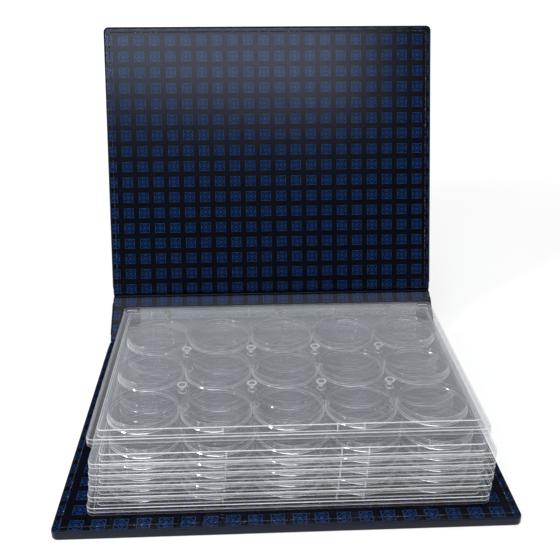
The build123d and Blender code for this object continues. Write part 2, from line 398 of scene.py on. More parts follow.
def clear_material(name, sizes, haze, metal, rough, lean=0.0):
    """Clear plastic: see-through, with a clean gloss that grows at a low angle and a little haze.
    Lean is how much of the haze comes only at a low angle."""
    material, base = new_material(name)
    place = on_object(base)
    patch = noise(base, place, 38.0, 3.0)
    dust = noise(base, place, 1500.0, 2.0).fade(0.66, 0.80)
    facing = base.node("ShaderNodeLayerWeight", None, {"Blend": 0.5}, output="Facing")
    veil = haze * (1 - lean) + facing * (haze * lean * 2)
    cover = veil * (0.6 + patch * 0.8) + dust * 0.015 + (facing ** 5) * 0.85
    shade = patch.tint(darker(sizes.clear, 0.94), sizes.clear)
    film = base.node("ShaderNodeBsdfPrincipled", None, {
        "Base Color": shade, "Metallic": metal, "Roughness": rough + dust * 0.1,
        "Normal": patch.bump(0.01 * MM)})
    through = base.node("ShaderNodeBsdfTransparent", None, {"Color": (0.96, 0.962, 0.967, 1)})
    parts = {0: cover.math("MINIMUM", 1.0), 1: through, 2: film}
    return finish_material(material, base.node("ShaderNodeMixShader", None, parts))


# Mesh building. First, how finely curves are divided.
corner_steps = 5
edge_steps = 2
pin_sides = 32
pocket_sides = 72
post_sides = 28
peg_sides = 24


def outline_point(vert, old, new):
    """Where a corner point of one rounded outline lies on another."""
    side = 1 if vert.co.x > 0 else -1
    rear = vert.co.y > (old[1] + old[2]) / 2

    def centre(outline):
        half, front, back, corner = outline
        return Vector((side * (half - corner), back - corner if rear else front + corner))

    arm = (Vector(vert.co.xy) - centre(old)) / old[3]
    return centre(new) + arm * new[3]


class Stepped:
    """A flat face that grows into a stepped solid: each step is an inset, moved to a new outline.
    An outline is half its width, its front, its back and its corner radius."""

    def __init__(self, bm, outline, height):
        half, front, back, corner = outline
        self.bm = bm
        self.outline = outline
        made = bmesh.ops.create_grid(bm, x_segments=1, y_segments=1, size=1)["verts"]
        for vert in made:
            vert.co = Vector((half * vert.co.x, front if vert.co.y < 0 else back, height))
        bmesh.ops.bevel(bm, geom=made, offset=corner, offset_type="OFFSET", segments=corner_steps,
                        profile=0.5, affect="VERTICES", material=-1)
        self.bottom = list(bm.faces)[0]
        made = bmesh.ops.extrude_face_region(bm, geom=[self.bottom])["geom"]
        self.face = [item for item in made if isinstance(item, bmesh.types.BMFace)][0]
        self.fresh = True

    def to(self, outline, height):
        """Moves the face to an outline at a height, with an inset first if it has been moved before."""
        if not self.fresh:
            bmesh.ops.inset_region(self.bm, faces=[self.face], thickness=1e-6, depth=0,
                                   use_even_offset=False)
        for vert in self.face.verts:
            spot = outline_point(vert, self.outline, outline)
            vert.co = Vector((spot.x, spot.y, height))
        self.fresh = False
        self.outline = outline
        return self


def continue_from(stepped, face, outline):
    """Steps on from another face of the same solid."""
    other = Stepped.__new__(Stepped)
    other.bm = stepped.bm
    other.face = face
    other.outline = outline
    other.fresh = False
    return other


def block(bm, low, high):
    """A plain block between two corners."""
    made = bmesh.ops.create_cube(bm, size=1.0)["verts"]
    low, high = Vector(low), Vector(high)
    bmesh.ops.scale(bm, vec=high - low, verts=made)
    bmesh.ops.translate(bm, vec=(low + high) / 2, verts=made)


def pin(bm, radius, low, high, place):
    """An upright cylinder."""
    matrix = Matrix.Translation((place[0], place[1], (low + high) / 2))
    bmesh.ops.create_cone(bm, cap_ends=True, segments=pin_sides, radius1=radius, radius2=radius,
                          depth=high - low, matrix=matrix)


def spans(values, ends, slack):
    """Whether values reach from one end to the other and no further."""
    return abs(min(values) - min(ends)) < slack and abs(max(values) - max(ends)) < slack


def lathe(points, steps, marks):
    """A closed ring turned from (radius, height) points. Marks are the sides with rounded edges."""
    bm = bmesh.new()
    verts = [bm.verts.new((radius, 0, height)) for radius, height in points]
    edges = [bm.edges.new((verts[i], verts[(i + 1) % len(verts)])) for i in range(len(verts))]
    bmesh.ops.spin(bm, geom=verts + edges, cent=(0, 0, 0), axis=(0, 0, 1), angle=2 * pi, steps=steps,
                   use_merge=True)
    bmesh.ops.remove_doubles(bm, verts=bm.verts, dist=1e-7)
    bmesh.ops.recalc_face_normals(bm, faces=bm.faces)
    rounded = [tuple(zip(points[i], points[(i + 1) % len(points)])) for i in marks]
    for face in bm.faces:
        face.smooth = True
        radii = [Vector(v.co.xy).length for v in face.verts]
        levels = [v.co.z for v in face.verts]
        for radius_ends, level_ends in rounded:
            if spans(radii, radius_ends, 2e-5) and spans(levels, level_ends, 2e-6):
                face.material_index = 1
    return as_mesh(bm, "turned")


def as_mesh(bm, name):
    """Writes a bmesh to a mesh and frees it."""
    mesh = bpy.data.meshes.new(name)
    bm.to_mesh(mesh)
    bm.free()
    return mesh


def add_copy(bm, mesh):
    """Adds a copy of a mesh to a bmesh and gives its vertices."""
    before = len(bm.verts)
    bm.from_mesh(mesh)
    bm.verts.ensure_lookup_table()
    return bm.verts[before:]


def stamp(bm, mesh, places):
    """Adds copies of a mesh to a bmesh, moved to places."""
    for place in places:
        bmesh.ops.translate(bm, vec=place, verts=add_copy(bm, mesh))


def divide_across(bm, half_width, cuts):
    """Divides the edges that run the whole width of a strip."""
    across = [e for e in bm.edges if abs(e.verts[0].co.x - e.verts[1].co.x) > half_width]
    bmesh.ops.subdivide_edges(bm, edges=across, cuts=cuts, use_grid_fill=True)


def add_object(name, data):
    """A new object in the scene."""
    item = bpy.data.objects.new(name, data)
    bpy.context.scene.collection.objects.link(item)
    return item


def carve(bm, cutter):
    """Takes a cutter's solid away from a solid."""
    solid = add_object("solid", as_mesh(bm, "solid"))
    tool = add_object("tool", as_mesh(cutter, "tool"))
    cut = solid.modifiers.new("cut", "BOOLEAN")
    cut.operation = "DIFFERENCE"
    cut.solver = "EXACT"
    cut.object = tool
    depsgraph = bpy.context.evaluated_depsgraph_get()
    result = bmesh.new()
    result.from_object(solid, depsgraph)
    for item in (solid, tool):
        mesh = item.data
        bpy.data.objects.remove(item)
        bpy.data.meshes.remove(mesh)
    return result


def round_edges(bm, radius, skip=lambda middle: False):
    """Rounds the sharp edges but for those to skip, and gives the rounding the edge material."""
    sharp = []
    for edge in bm.edges:
        middle = (edge.verts[0].co + edge.verts[1].co) / 2
        if edge.calc_face_angle() > radians(40) and not skip(middle):
            sharp.append(edge)
    bmesh.ops.bevel(bm, geom=sharp, offset=radius, offset_type="OFFSET", segments=edge_steps,
                    profile=0.5, affect="EDGES", material=1)


def smooth_below(bm, angle):
    """Smooth shading, but for edges sharper than an angle."""
    for face in bm.faces:
        face.smooth = True
    for edge in bm.edges:
        if edge.is_manifold and edge.calc_face_angle() > angle:
            edge.smooth = False


def crease(bm):
    """Smooth shading, but for sharp edges and the borders of the rounded ones."""
    smooth_below(bm, radians(35))
    for edge in bm.edges:
        if len({face.material_index for face in edge.link_faces}) > 1:
            edge.smooth = False


def new_piece(name, mesh, materials, body, stands_for):
    """A finished piece: its mesh, materials, body and the nodes that it stands for."""
    piece = add_object(name, mesh)
    for material in materials:
        mesh.materials.append(material)
    if body is not None:
        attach(piece, body)
    if stands_for:
        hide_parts(*stands_for)
    return piece


def material(name):
    """A material that the finishes operator made."""
    return bpy.data.materials[name]


def refinish(node, name):
    """Gives a CAD node that stays one of the materials."""
    mesh = frame["nodes"][node].data
    mesh.materials.clear()
    mesh.materials.append(material(name))


def ease(value):
    """A smooth rise from 0 to 1 as a value rises from 0 to 1."""
    value = min(max(value, 0), 1)
    return value * value * (3 - 2 * value)


# Covers

def raising(axis, angle):
    """Moves a panel drawn flat, with its fold line at Y 0, onto its fold line and turns it up."""
    return (Matrix.Translation(axis) @ Matrix.Rotation(angle, 4, "X")
            @ Matrix.Translation((0, 0, -fold_height)))


def panels():
    """Each panel of the case: its name, front, back, the sides at a fold and its place."""
    depth = cover_back - cover_front
    raised_spine = raising(spine_axis, spine_rise)
    return [
        ("back_cover", cover_front, cover_back, ("back",), Matrix.Identity(4)),
        ("spine", fold_half, spine_length - fold_half, ("front", "back"), raised_spine),
        ("front_cover", fold_half, fold_half + depth, ("front",), raising(cover_axis, cover_rise)),
    ]


def flat_map(bm, shift=(0.0, 0.0)):
    """Gives each face a flat map in metres, seen along the side that it faces most, and shifted."""
    layer = bm.loops.layers.uv.new("flat")
    bm.normal_update()
    for face in bm.faces:
        normal = [abs(part) for part in face.normal]
        main = normal.index(max(normal))
        for loop in face.loops:
            x, y, z = loop.vert.co
            x += shift[0]
            y += shift[1]
            loop[layer].uv = ((y, z), (x, z), (x, y))[main]


def pattern_shift(piece):
    """How far a piece's own flat map lies from the grid of the printed pattern."""
    aside = -2.1 * MM
    ahead = 7.25 * MM
    shifts = {
        "back_cover": (0.0, ahead),
        "back_fold": (0.0, cover_back + fold_half + ahead),
        "spine": (aside, -spine_length),
        "front_fold": (aside, 0.0),
        "front_cover": (aside, 0.0),
    }
    return shifts[piece]


def shade_soft(bm):
    """Smooth shading on rounded faces and plain shading on level ones."""
    bmesh.ops.recalc_face_normals(bm, faces=bm.faces)
    bm.normal_update()
    for face in bm.faces:
        face.smooth = abs(face.normal.z) < 0.999


def cloth_panel(sizes, front, back):
    """Outer cloth of a panel: under, round the edges and over the rim, open above the board."""
    bm = bmesh.new()
    corner = sizes.corner
    rim = sizes.rim

    def edge(inset):
        return (cover_half - inset, front + inset, back - inset, corner - inset)

    # Inset and height of the rounded rim, in millimetres
    roll = [(0.62, 0.08), (0.3, 0.3), (0.08, 0.62), (0.0, 1.0), (0.0, 4.9), (0.06, 5.3), (0.22, 5.6),
            (0.45, 5.76), (0.7, 5.8), (0.95, 5.72)]
    top = cover_thickness
    shape = Stepped(bm, edge(1.0 * MM), 0.0)
    for inset, height in roll:
        shape.to(edge(inset * MM), height * MM)
    shape.to(edge(rim), top - 0.5 * MM)
    shape.to(edge(rim), 1.2 * MM)
    shade_soft(bm)
    return bm


def inset_corner(corner, inset):
    """Corner radius of an outline that lies inside a rounded one."""
    return max(corner - inset * 0.8, 0.5 * MM)


def lining_panel(sizes, front, back, folds):
    """Lining of a panel: a thin sheet, rolled down at its edge and pulled in along the stitching.
    Folds holds the long sides, front or back, that run on into a fold without a seam."""
    bm = bmesh.new()
    corner = sizes.corner
    rim = sizes.rim
    seam = sizes.seam_inset
    dip = sizes.seam_depth
    top = cover_thickness

    def edge(inset):
        beside_fold = rim + 0.05 * (inset - rim)
        ahead = beside_fold if "front" in folds else inset
        behind = beside_fold if "back" in folds else inset
        return (cover_half - inset, front + ahead, back - behind, inset_corner(corner, inset))

    shape = Stepped(bm, edge(rim + 0.05 * MM), top - 1.0 * MM)
    groove = 0.18 * MM
    bank = 0.4 * MM
    steps = [
        (rim + 0.06 * MM, 0.3 * MM), (rim + 0.12 * MM, 0.08 * MM), (rim + 0.35 * MM, 0.0),
        (seam - bank, 0.01 * MM), (seam - groove, dip / 2), (seam, dip), (seam + groove, dip / 2),
        (seam + bank, 0.01 * MM), (seam + 2.0 * MM, 0.0),
    ]
    for inset, drop in steps:
        shape.to(edge(inset), top - drop)
    shade_soft(bm)
    return bm


def seam_places(sizes, front, back, folds):
    """Middle and heading of each stitch along the sides of a panel that have a seam."""
    inset = sizes.seam_inset
    corner = inset_corner(sizes.corner, inset)
    half = cover_half - inset
    front += 0 if "front" in folds else inset
    back -= 0 if "back" in folds else inset
    width = 2 * (half - corner)
    sides = [
        ((half, front + corner), (0, 1), back - front - 2 * corner),
        ((-half, back - corner), (0, -1), back - front - 2 * corner),
    ]
    if "front" not in folds:
        sides.append(((-half + corner, front), (1, 0), width))
    if "back" not in folds:
        sides.append(((half - corner, back), (-1, 0), width))
    places = []
    for start, heading, run in sides:
        count = max(1, round(run / sizes.stitch_pitch))
        for index in range(count):
            along = run * (index + 0.5) / count
            places.append((start[0] + heading[0] * along, start[1] + heading[1] * along, heading))
    return places


def stitch_mesh(sizes):
    """One stitch: a capsule along X."""
    bm = bmesh.new()
    radius = sizes.thread / 2
    made = bmesh.ops.create_uvsphere(bm, u_segments=8, v_segments=6, radius=radius)["verts"]
    bmesh.ops.rotate(bm, cent=(0, 0, 0), matrix=Matrix.Rotation(pi / 2, 3, "Y"), verts=made)
    stretch = sizes.stitch_length / 2 - radius
    for vert in made:
        if abs(vert.co.x) > 1e-6:
            vert.co.x += stretch if vert.co.x > 0 else -stretch
    return as_mesh(bm, "stitch")


def fleck_mesh():
    """One small tuft of fibre."""
    bm = bmesh.new()
    bmesh.ops.create_icosphere(bm, subdivisions=1, radius=0.24 * MM)
    return as_mesh(bm, "fleck")


def stitching(sizes, front, back, folds, seed):
    """Stitches round a panel and pale fibre in some of their holes."""
    luck = Random(seed)
    lean = 0.06
    fibre_share = 0.4
    proud = 0.05 * MM
    stitch = stitch_mesh(sizes)
    fleck = fleck_mesh()
    level = cover_thickness - sizes.seam_depth + proud
    bm = bmesh.new()
    for x, y, heading in seam_places(sizes, front, back, folds):
        turn = Matrix.Rotation(0 if heading[0] else pi / 2, 4, "Z")
        tilt = Matrix.Rotation(luck.uniform(-lean, lean), 4, "Z")
        added = add_copy(bm, stitch)
        bmesh.ops.transform(bm, matrix=Matrix.Translation((x, y, level)) @ turn @ tilt, verts=added)
        if luck.random() < fibre_share:
            reach = sizes.stitch_pitch / 2
            spot = (x + heading[0] * reach, y + heading[1] * reach, level + proud)
            before = len(bm.faces)
            added = add_copy(bm, fleck)
            bmesh.ops.scale(bm, vec=(luck.uniform(0.5, 1.2), luck.uniform(0.5, 1.2), 0.7), verts=added)
            bmesh.ops.translate(bm, vec=spot, verts=added)
            bm.faces.ensure_lookup_table()
            for face in bm.faces[before:]:
                face.material_index = 1
    for face in bm.faces:
        face.smooth = True
    for mesh in (stitch, fleck):
        bpy.data.meshes.remove(mesh)
    return bm


def fold_sheet(angle, inner, outer, shift):
    """A fold between two panels: one closed strip, drawn flat and bent about the fold line.
    Inner and outer are (Y, Z) points along its two faces, each from front to back."""
    bm = bmesh.new()
    half = cover_half - 0.6 * MM
    points = list(inner) + list(reversed(outer))
    verts = [bm.verts.new((-half, y, z)) for y, z in points]
    made = bmesh.ops.extrude_face_region(bm, geom=[bm.faces.new(verts)])["geom"]
    moved = [item for item in made if isinstance(item, bmesh.types.BMVert)]
    bmesh.ops.translate(bm, vec=(2 * half, 0, 0), verts=moved)
    divide_across(bm, half, 11)
    bmesh.ops.recalc_face_normals(bm, faces=bm.faces)
    flat_map(bm, shift)
    inner_low = min(z for y, z in inner) - 0.1 * MM
    for face in bm.faces:
        lined = face.calc_center_median().z >= inner_low and face.normal.z > 0.05
        face.material_index = 1 if lined else 0
    smooth_below(bm, radians(60))
    reach = fold_half * 0.8
    pivot = Vector((0, 0, fold_height))
    for vert in bm.verts:
        turn = Matrix.Rotation(angle * ease((vert.co.y + reach) / (2 * reach)), 3, "X")
        vert.co = turn @ (vert.co - pivot) + pivot
    return bm


def fold_profile():
    """Inner and outer (Y, Z) points of a fold: a trench whose lips lie on the two panels."""
    steps = 8
    reach = fold_half - 0.1 * MM
    lip = 3.6 * MM
    slope = 3.4 * MM
    half_sheet = 1.1 * MM
    sag = 1.0 * MM
    top = cover_thickness
    trench = fold_height + half_sheet
    inner = []
    outer = []
    for index in range(-steps, steps + 1):
        y = reach * index / steps
        inner.append((y, trench + (top + 0.12 * MM - trench) * ease(abs(y) / slope)))
        outer.append((y, fold_height - half_sheet - sag * (abs(y) / reach) ** 4))
    inner = [(-reach - lip, top + 0.02 * MM)] + inner + [(reach + lip, top + 0.02 * MM)]
    ends = [(reach + 0.05 * MM, top - 0.1 * MM), (reach + lip, top - 0.05 * MM)]
    outer = [(-y, z) for y, z in reversed(ends)] + outer + ends
    return inner, outer


# Pages. Heights are from the underside of a page's flange, as its CAD solids have them.
flange_leaf = 2.4 * MM
flange_pair = 5.3 * MM
recess_ceiling = 3.225 * MM
panel_top = 3.925 * MM
lid_base = 4.025 * MM
slot_top = 3.5 * MM

# From the pockets out to the box and the flange
ring_growth = 2.2 * MM
box_side = 2.2 * MM
box_ahead = 3.5 * MM
box_behind = 13.2 * MM
flange_ahead = 2.6 * MM

# From the box out to other outlines, to the side, the front and the back
recess_out = (1.2 * MM, 1.475 * MM, 1.3 * MM)
raised_out = (2.1 * MM, 1.275 * MM, 2.2 * MM)
opening_out = (2.3 * MM, 1.475 * MM, 2.4 * MM)

# Corner radii
flange_corner = 4.0 * MM
box_corner = 3.0 * MM
raised_corner = 1.5 * MM
opening_corner = 0.3 * MM

# Slot for the film and holes for the eyelets, from the back of the flange
slot_half = 109 * MM
slot_depth = 11.8 * MM
eyelet_back = 6.8 * MM
eyelet_places = (-85 * MM, 0.0, 85 * MM)
upper_hole = 3.7 * MM
lower_hole = 2.05 * MM

# Ribs inside the box's walls, and how far rings and posts are sunk into the sheet that bears them
front_ribs = (-39.4 * MM, 27.2 * MM, 43.0 * MM)
back_ribs = (-95.9 * MM, -23.1 * MM, 40.6 * MM)
sunk = 0.25 * MM


class Page:
    """Outlines and heights of one page, from the middle of its pockets and its underside."""

    def __init__(self, sizes, number):
        low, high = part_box(f"page_{number}_tray")
        lid_low, lid_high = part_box(f"page_{number}_lid")
        ring = sizes.pocket_bore + ring_growth
        grid_half = ((sizes.columns - 1) * sizes.column_pitch + ring) / 2
        grid_deep = ((sizes.rows - 1) * sizes.row_pitch + ring) / 2
        self.flange = (high.x - low.x) / 2
        self.box_half = grid_half + box_side
        self.box_front = -(grid_deep + box_ahead)
        self.box_back = grid_deep + box_behind
        self.front = self.box_front - flange_ahead
        self.back = self.front + high.y - low.y
        self.place = Vector(((low.x + high.x) / 2, low.y - self.front, low.z))
        self.lid_bottom = lid_low.z - low.z
        self.top = lid_high.z - low.z

    def flange_outline(self):
        return (self.flange, self.front, self.back, flange_corner)

    def outline(self, out, corner):
        """The outline that lies some way out from the box."""
        side, ahead, behind = out
        return (self.box_half + side, self.box_front - ahead, self.box_back + behind, corner)

    def eyelet_middles(self):
        return [(x, self.back - eyelet_back) for x in eyelet_places]


def grid(columns, rows, column_pitch, row_pitch):
    """Middles of a centred grid."""
    return [((c - (columns - 1) / 2) * column_pitch, (r - (rows - 1) / 2) * row_pitch, 0)
            for r in range(rows) for c in range(columns)]


def pocket_places(sizes):
    """Middles of a page's pockets."""
    return grid(sizes.columns, sizes.rows, sizes.column_pitch, sizes.row_pitch)


def post_places(sizes):
    """Middles of the snap posts, each between four pockets."""
    return grid(sizes.columns - 1, sizes.rows - 1, sizes.column_pitch, sizes.row_pitch)


def upper_leaf(sizes, page):
    """Upper leaf of a page, drawn about the middle of its pockets."""
    wall = sizes.wall
    bm = bmesh.new()
    flange = page.flange_outline()
    box = page.outline((0, 0, 0), box_corner)
    inner = page.outline((-wall, -wall, -wall), box_corner - wall)
    opening = page.outline(opening_out, opening_corner)
    outside = Stepped(bm, flange, page.lid_bottom)
    bottom = outside.bottom
    outside.to(flange, flange_pair).to(box, flange_pair).to(box, page.top)
    inside = continue_from(outside, bottom, flange)
    inside.to(opening, page.lid_bottom).to(opening, lid_base).to(inner, lid_base)
    inside.to(inner, page.top - wall)
    bmesh.ops.recalc_face_normals(bm, faces=bm.faces)

    def in_opening(middle):
        beside = abs(middle.x) < page.flange - MM and page.front + MM < middle.y < page.back - MM
        return beside and middle.z < lid_base + 0.1 * MM

    round_edges(bm, sizes.edge_round, skip=in_opening)
    cutter = bmesh.new()
    block(cutter, (-slot_half, page.back - slot_depth, page.lid_bottom - MM),
          (slot_half, page.back + MM, slot_top))
    for middle in page.eyelet_middles():
        pin(cutter, upper_hole, slot_top - 0.3 * MM, flange_pair + MM, middle)
    return carve(bm, cutter)


def lower_leaf(sizes, page):
    """Lower leaf of a page, drawn about the middle of its pockets."""
    bm = bmesh.new()
    flange = page.flange_outline()
    raised = page.outline(raised_out, raised_corner)
    outside = Stepped(bm, flange, 0.0)
    outside.to(flange, flange_leaf).to(raised, flange_leaf).to(raised, panel_top)
    bmesh.ops.recalc_face_normals(bm, faces=bm.faces)
    round_edges(bm, sizes.edge_round * 0.7)
    half, front, back, corner = page.outline(recess_out, 0.0)
    cutter = bmesh.new()
    block(cutter, (-half, front, -MM), (half, back, recess_ceiling))
    bm = carve(bm, cutter)
    holes = bmesh.new()
    for middle in page.eyelet_middles():
        pin(holes, lower_hole, -MM, flange_leaf + MM, middle)
    return carve(bm, holes)


def pocket_wall(sizes, page):
    """Wall of a pocket, hung from the upper leaf, with a fillet where it meets the plate."""
    wall = 0.45 * MM
    fillet = 0.1 * MM
    lip = 0.08 * MM
    bore = sizes.pocket_bore / 2
    out = bore + wall
    plate = page.top - sizes.wall
    low = lid_base + 0.06 * MM
    straight = lid_base + 0.3 * MM
    points = [
        (bore - fillet, plate + sunk), (bore - fillet, plate), (bore, plate - fillet), (bore, straight),
        (bore + lip, low), (bore + wall / 2, lid_base), (out - lip, low), (out, straight),
        (out, plate - fillet), (out + fillet, plate), (out + fillet, plate + sunk),
    ]
    return lathe(points, pocket_sides, marks=(1, 4, 5, 8))


def coin_ring(sizes):
    """Low ring on the lower leaf round a pocket's wall."""
    inner = sizes.pocket_bore / 2 + 0.6 * MM
    out = inner + 0.5 * MM
    top = panel_top + 1.6 * MM
    rim = top - 0.04 * MM
    straight = top - 0.25 * MM
    lip = 0.12 * MM
    fillet = 0.28 * MM
    base = panel_top - sunk
    points = [
        (inner, base), (inner, straight), (inner + lip, rim), (out - lip, rim), (out, straight),
        (out, panel_top + 0.35 * MM), (out + fillet, panel_top), (out + fillet, base),
    ]
    return lathe(points, pocket_sides, marks=(1, 2, 3, 5))


def snap_socket(sizes, page):
    """Hollow snap post of the upper leaf."""
    bore = 2.0 * MM
    out = 3.0 * MM
    rounding = 0.25 * MM
    fillet = 0.3 * MM
    plate = page.top - sizes.wall
    points = [
        (bore, plate + sunk), (bore, lid_base + 0.35 * MM), (bore + rounding, lid_base),
        (out - rounding, lid_base), (out, lid_base + fillet), (out, plate - fillet),
        (out + fillet, plate), (out + fillet, plate + sunk),
    ]
    return lathe(points, post_sides, marks=(1, 2, 3, 5, 6, 7))


def snap_peg():
    """Peg of the lower leaf that snaps into a socket."""
    centre = 0.02 * MM
    out = 1.8 * MM
    fillet = 0.35 * MM
    top = panel_top + 3.0 * MM
    base = panel_top - sunk
    points = [
        (centre, base), (centre, top), (1.2 * MM, top - 0.05 * MM), (1.7 * MM, top - 0.4 * MM),
        (out, top - 0.9 * MM), (out, panel_top + fillet), (out + fillet, panel_top),
        (out + fillet, base),
    ]
    return lathe(points, peg_sides, marks=(1, 2, 3, 5, 6))


def wall_ribs(page, wall):
    """Small upright ribs inside the box's front and back walls."""
    half = 0.35 * MM
    depth = 0.5 * MM
    top = page.top - 0.45 * MM
    bm = bmesh.new()
    rows = [(x, page.box_front + wall) for x in front_ribs]
    rows += [(x, page.box_back - wall) for x in back_ribs]
    for x, y in rows:
        block(bm, (x - half, y - depth, lid_base), (x + half, y + depth, top))
    for face in bm.faces:
        face.material_index = 1
    return as_mesh(bm, "ribs")


def mark_walls(mesh):
    """Gives a turned ring's smooth sides the pockets' own material."""
    for polygon in mesh.polygons:
        polygon.material_index = 2 if polygon.material_index == 0 else 3


def hinge_ribbon(points, half_width):
    """A closed strip that follows (Y, Z) points, from X -half_width to half_width."""
    bm = bmesh.new()
    verts = [bm.verts.new((-half_width, y, z)) for y, z in points]
    edges = [bm.edges.new(pair) for pair in zip(verts, verts[1:])]
    made = bmesh.ops.extrude_edge_only(bm, edges=edges)["geom"]
    moved = [item for item in made if isinstance(item, bmesh.types.BMVert)]
    bmesh.ops.translate(bm, vec=(2 * half_width, 0, 0), verts=moved)
    divide_across(bm, half_width, 7)
    bmesh.ops.recalc_face_normals(bm, faces=bm.faces)
    bmesh.ops.solidify(bm, geom=bm.faces[:], thickness=0.4 * MM)
    bmesh.ops.recalc_face_normals(bm, faces=bm.faces)
    smooth_below(bm, radians(50))
    return bm


def film_route(low, high, start, end):
    """(Y, Z) points along the outer face of a film: back from start, round its loop and on to end.
    Low and high are the corners of the film's box."""
    straight_steps = 10
    loop_steps = 16
    radius = (high.z - low.z) / 2
    turn = high.y - radius
    points = []
    for step in range(straight_steps):
        points.append((start + (turn - start) * step / straight_steps, low.z))
    for step in range(loop_steps + 1):
        angle = -pi / 2 + pi * step / loop_steps
        points.append((turn + radius * cos(angle), low.z + radius + radius * sin(angle)))
    for step in range(1, straight_steps + 1):
        points.append((turn + (end - turn) * step / straight_steps, high.z))
    return points


# Operators

class ALBUM_OT_finishes(bpy.types.Operator):
    """Makes the materials of the covers and pages."""
    bl_idname = "album.finishes"
    bl_label = "Finishes"

    def execute(self, context):
        covers = context.scene.album_covers
        pages = context.scene.album_pages
        cloth_material(covers)
        lining_material(covers)
        thread_material(covers)
        fluff_material()
        board_material()
        strip_material()
        metal_material("album_screw", (0.58, 0.58, 0.60), 0.26)
        metal_material("album_eyelet", (0.80, 0.76, 0.70), 0.34)
        clear_material("page_sheet", pages, pages.haze, metal=0.4, rough=0.05, lean=0.65)
        # page_edge and page_rim get a strong white veil, which paints the highlight lines of rounded
        # edges and rims.
        clear_material("page_edge", pages, pages.edge_painted_highlight, metal=0.35, rough=0.12)
        clear_material("page_wall", pages, pages.wall_haze, metal=0.75, rough=0.04, lean=0.5)
        clear_material("page_rim", pages, pages.edge_painted_highlight * 1.1, metal=0.35, rough=0.1)
        clear_material("page_film", pages, 0.12, metal=0.4, rough=0.18)
        return {"FINISHED"}


class ALBUM_OT_covers(bpy.types.Operator):
    """Builds the padded covers and the spine, with their lining and stitching."""
    bl_idname = "album.covers"
    bl_label = "Covers and spine"

    def execute(self, context):
        sizes = context.scene.album_covers
        for seed, (name, front, back, folds, move) in enumerate(panels(), start=3):
            cloth = cloth_panel(sizes, front, back)
            flat_map(cloth)
            lining = lining_panel(sizes, front, back, folds)
            flat_map(lining, pattern_shift(name))
            thread = stitching(sizes, front, back, folds, seed)
            rows = [
                (cloth, "outer_cloth", ["cloth"], "cover_skin", [name + "_skin"]),
                (lining, "patterned_lining", ["lining"], "lining", [name + "_lining"]),
                (thread, "stitching", ["thread", "fibre"], "cover_skin", []),
            ]
            for bm, kind, finishes, slot_name, stands_for in rows:
                bmesh.ops.transform(bm, matrix=move, verts=bm.verts)
                title = f"{name}_{kind}"
                piece = new_piece(title, as_mesh(bm, title), [material("album_" + f) for f in finishes],
                                  name, stands_for)
                kind == "outer_cloth"
            refinish(name + "_board", "album_board")
        return {"FINISHED"}


class ALBUM_OT_folds(bpy.types.Operator):
    """Builds the soft folds on both sides of the spine."""
    bl_idname = "album.folds"
    bl_label = "Folds"

    def execute(self, context):
        front_turn = cover_rise - spine_rise
        rows = [
            ("back_fold", "back_gutter", "back_cover", "spine", spine_axis, 0.0, spine_rise),
            ("front_fold", "front_gutter", "spine", "front_cover", cover_axis, spine_rise, front_turn),
        ]
        inner, outer = fold_profile()
        for name, node, near, far, axis, lean, turn in rows:
            bm = fold_sheet(turn, inner, outer, pattern_shift(name))
            bmesh.ops.transform(bm, matrix=raising(axis, lean), verts=bm.verts)
            finishes = [material("album_cloth"), material("album_lining")]
            piece = new_piece(name, as_mesh(bm, name), finishes, None, [node])
            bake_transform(piece)
        return {"FINISHED"}


class ALBUM_OT_pages(bpy.types.Operator):
    """Builds both leaves of every clear page."""
    bl_idname = "album.pages"
    bl_label = "Pages"

    def execute(self, context):
        sizes = context.scene.album_pages
        first = Page(sizes, page_count)
        wall = pocket_wall(sizes, first)
        socket = snap_socket(sizes, first)
        ring = coin_ring(sizes)
        peg = snap_peg()
        for turned in (wall, socket, ring, peg):
            mark_walls(turned)
        upper = upper_leaf(sizes, first)
        stamp(upper, wall, pocket_places(sizes))
        stamp(upper, socket, post_places(sizes))
        stamp(upper, wall_ribs(first, sizes.wall), [(0, 0, 0)])
        lower = lower_leaf(sizes, first)
        stamp(lower, ring, pocket_places(sizes))
        stamp(lower, peg, post_places(sizes))
        for leaf in (upper, lower):
            crease(leaf)
        leaves = [
            ("upper_leaf", as_mesh(upper, "upper_leaf"), "lid"),
            ("lower_leaf", as_mesh(lower, "lower_leaf"), "tray"),
        ]
        finishes = [material("page_" + kind) for kind in ("sheet", "edge", "wall", "rim")]
        for number in range(1, page_count + 1):
            page = Page(sizes, number)
            for kind, shape, node in leaves:
                name = f"page_{number}_{kind}"
                mesh = shape.copy()
                mesh.name = name
                mesh.transform(Matrix.Translation(page.place))
                body = f"page_{number}"
                if number == 1 and kind == "upper_leaf":
                    body = "page_1_lid"
                new_piece(name, mesh, finishes, body, [f"page_{number}_{node}"])
            refinish(f"page_{number}_eyelets", "album_eyelet")
        return {"FINISHED"}


